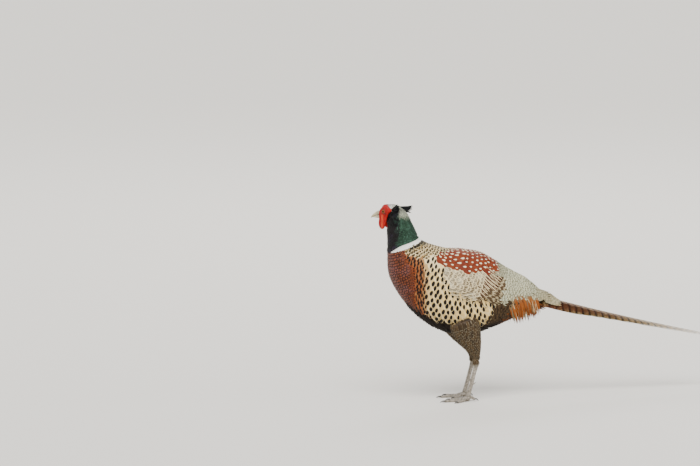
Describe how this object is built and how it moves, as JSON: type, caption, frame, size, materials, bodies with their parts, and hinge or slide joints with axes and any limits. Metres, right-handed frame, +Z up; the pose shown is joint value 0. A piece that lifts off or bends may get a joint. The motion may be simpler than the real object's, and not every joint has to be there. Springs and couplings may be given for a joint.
{
  "type": "common pheasant",
  "caption": "Life-size standing cock pheasant with its head turned aside: red face wattles, ear tufts, white neck ring, folded wings, spurred legs and a long pointed tail.",
  "frame": {"origin": "on the floor, under the middle of the bird's overall length and width", "axes": "+X towards the tail, +Y to the bird's right, +Z up; the breast faces -X"},
  "size_m": [0.75, 0.1462, 0.4223],
  "materials": {
    "green_plumage": "glossy green-black feathers",
    "neck_plumage": "glossy dark green feathers",
    "white_plumage": "matt white feathers",
    "body_plumage": "maroon, golden and cream feathers with dark marks",
    "wing_plumage": "grey-buff feathers with brown bars",
    "scapular_plumage": "chestnut feathers with cream spots",
    "rump_plumage": "grey-green hair-like feathers",
    "vent_plumage": "dark brown feathers",
    "tail_plumage": "olive-buff feathers with black bars",
    "black_plumage": "glossy black feathers",
    "thigh_plumage": "dark brown feathers",
    "face_skin": "red bare skin with fine papillae",
    "bill_horn": "satin horn",
    "eye": "glossy orange-brown iris with a black pupil",
    "leg_scales": "satin grey scales",
    "claw_horn": "satin dark horn"
  },
  "bodies": {
    "root": {"head": "green_plumage", "neck": "neck_plumage", "collar": "white_plumage", "torso": "body_plumage", "bill_upper": "bill_horn", "bill_lower": "bill_horn", "tail": "tail_plumage", "rump_feathers": "rump_plumage", "vent_feathers": "vent_plumage", "eye_left": "eye", "wattle_left": "face_skin", "ear_tuft_left": "black_plumage", "wing_left": "wing_plumage", "scapulars_left": "scapular_plumage", "thigh_left": "thigh_plumage", "shank_left": "leg_scales", "foot_left": "leg_scales", "claw_inner_left": "claw_horn", "claw_middle_left": "claw_horn", "claw_outer_left": "claw_horn", "claw_hind_left": "claw_horn", "eye_right": "eye", "wattle_right": "face_skin", "ear_tuft_right": "black_plumage", "wing_right": "wing_plumage", "scapulars_right": "scapular_plumage", "thigh_right": "thigh_plumage", "shank_right": "leg_scales", "foot_right": "leg_scales", "claw_inner_right": "claw_horn", "claw_middle_right": "claw_horn", "claw_outer_right": "claw_horn", "claw_hind_right": "claw_horn"}
  },
  "joints": []
}
